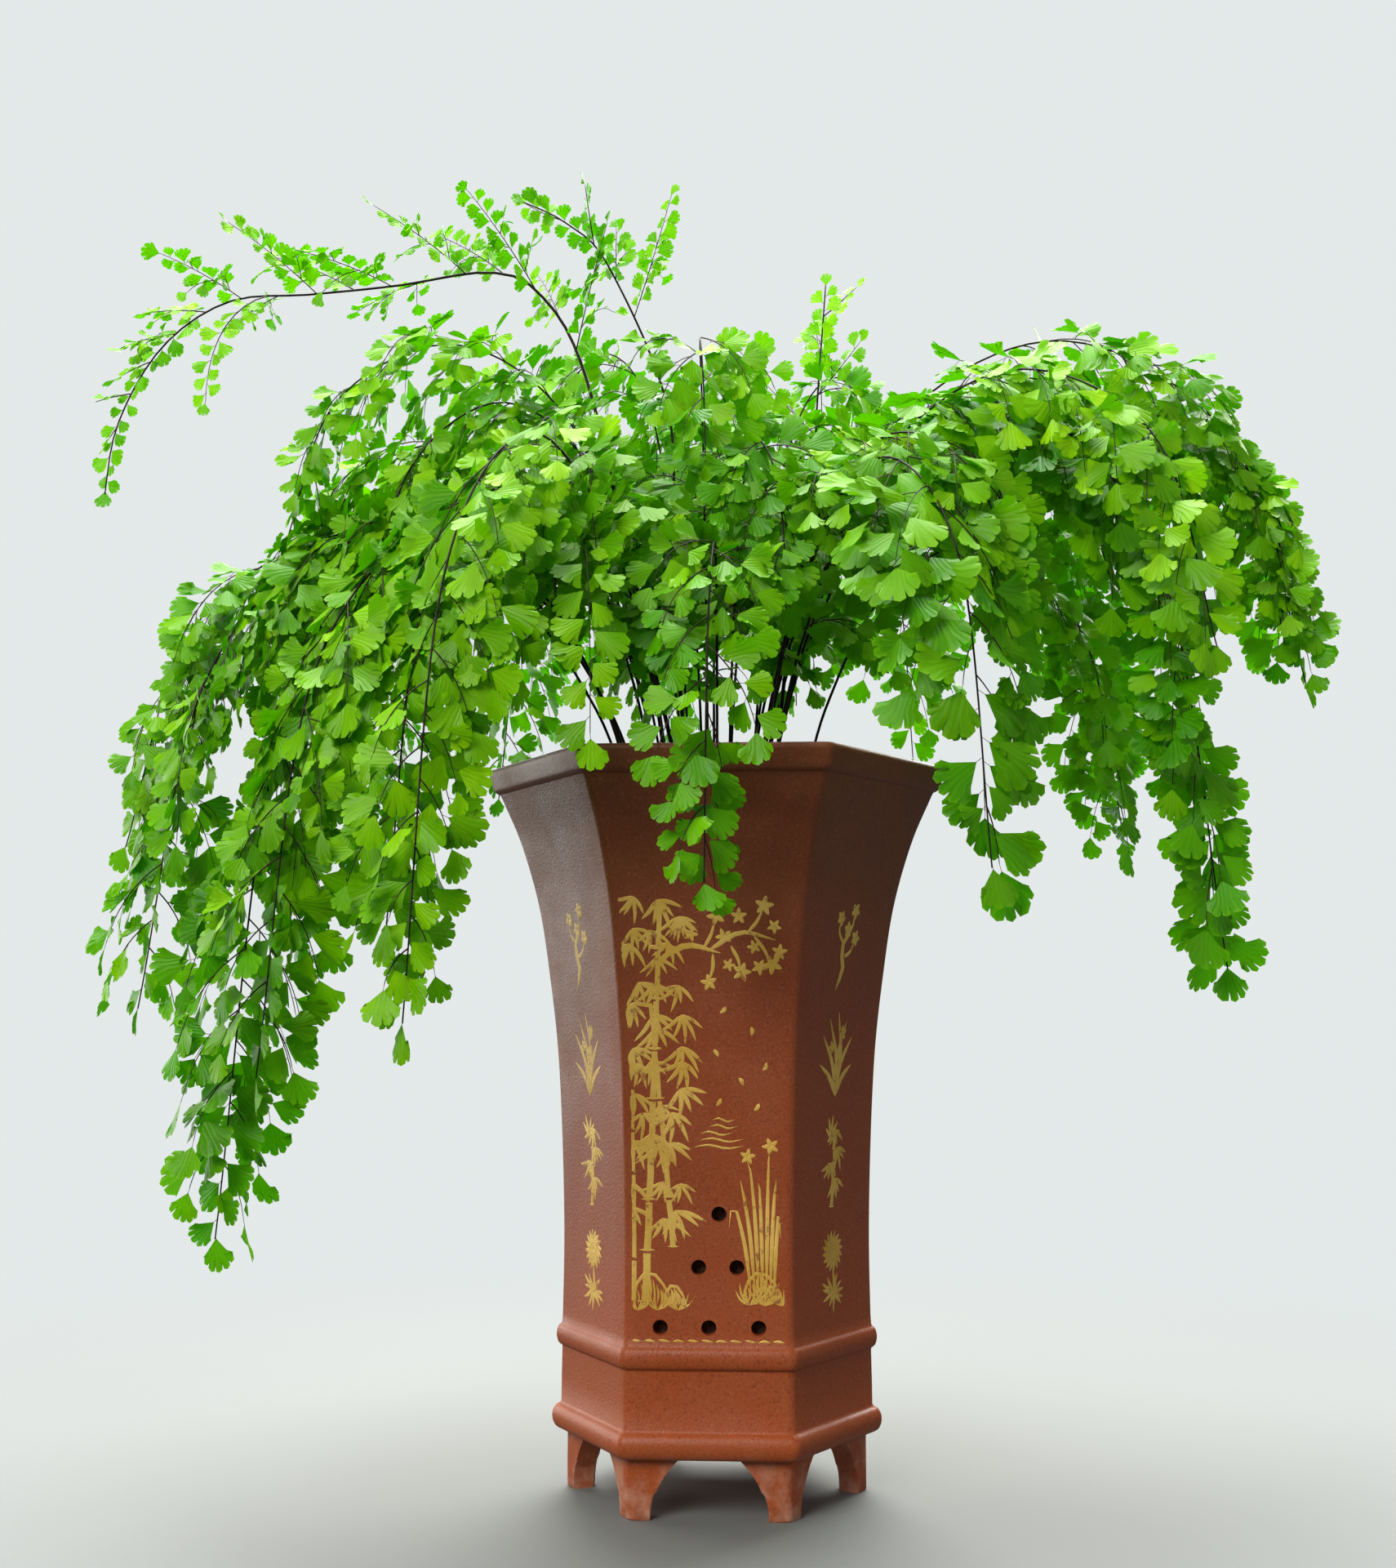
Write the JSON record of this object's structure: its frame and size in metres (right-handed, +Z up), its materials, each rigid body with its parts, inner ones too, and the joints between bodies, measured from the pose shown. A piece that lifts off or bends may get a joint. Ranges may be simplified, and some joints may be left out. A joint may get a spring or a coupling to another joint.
{
  "type": "potted maidenhair fern",
  "caption": "Maidenhair fern in a tall six-sided clay planter on bracket feet: fronds of small fan leaflets on dark wiry stalks arch out over the flared rim and hang down.",
  "frame": {"origin": "on the ground at the middle of the whole plant's box, which is the planter's upright axis", "axes": "+Z up; -Y towards the viewer, square to the planter's picture face; +X to the viewer's right"},
  "size_m": [0.5403, 0.3497, 0.5541],
  "materials": {
    "clay": "satin",
    "soil": "matte",
    "foliage": "satin",
    "stalks": "satin",
    "gilding": "worn"
  },
  "bodies": {
    "root": {"planter": "clay", "soil": "soil", "frond_left_high": "foliage", "frond_left_shoulder": "foliage", "frond_left_outer": "foliage", "frond_left_curtain_a": "foliage", "frond_left_curtain_b": "foliage", "frond_left_curtain_c": "foliage", "frond_left_fore": "foliage", "frond_left_inner": "foliage", "frond_left_back_a": "foliage", "frond_left_back_b": "foliage", "frond_right_high": "foliage", "frond_right_outer": "foliage", "frond_right_curtain": "foliage", "frond_right_fore": "foliage", "frond_right_near": "foliage", "frond_right_inner": "foliage", "frond_right_back_a": "foliage", "frond_right_back_b": "foliage", "frond_right_low": "foliage", "frond_crown_left": "foliage", "frond_crown_mid": "foliage", "frond_crown_right": "foliage", "frond_crown_front": "foliage", "frond_crown_fore": "foliage", "frond_front_left": "foliage", "frond_front_mid": "foliage", "frond_front_right": "foliage", "frond_back_right": "foliage", "frond_back_mid_right": "foliage", "frond_back_mid_left": "foliage", "frond_back_left": "foliage", "frond_loose_long": "foliage", "frond_loose_tall": "foliage", "frond_young": "foliage"}
  },
  "joints": []
}
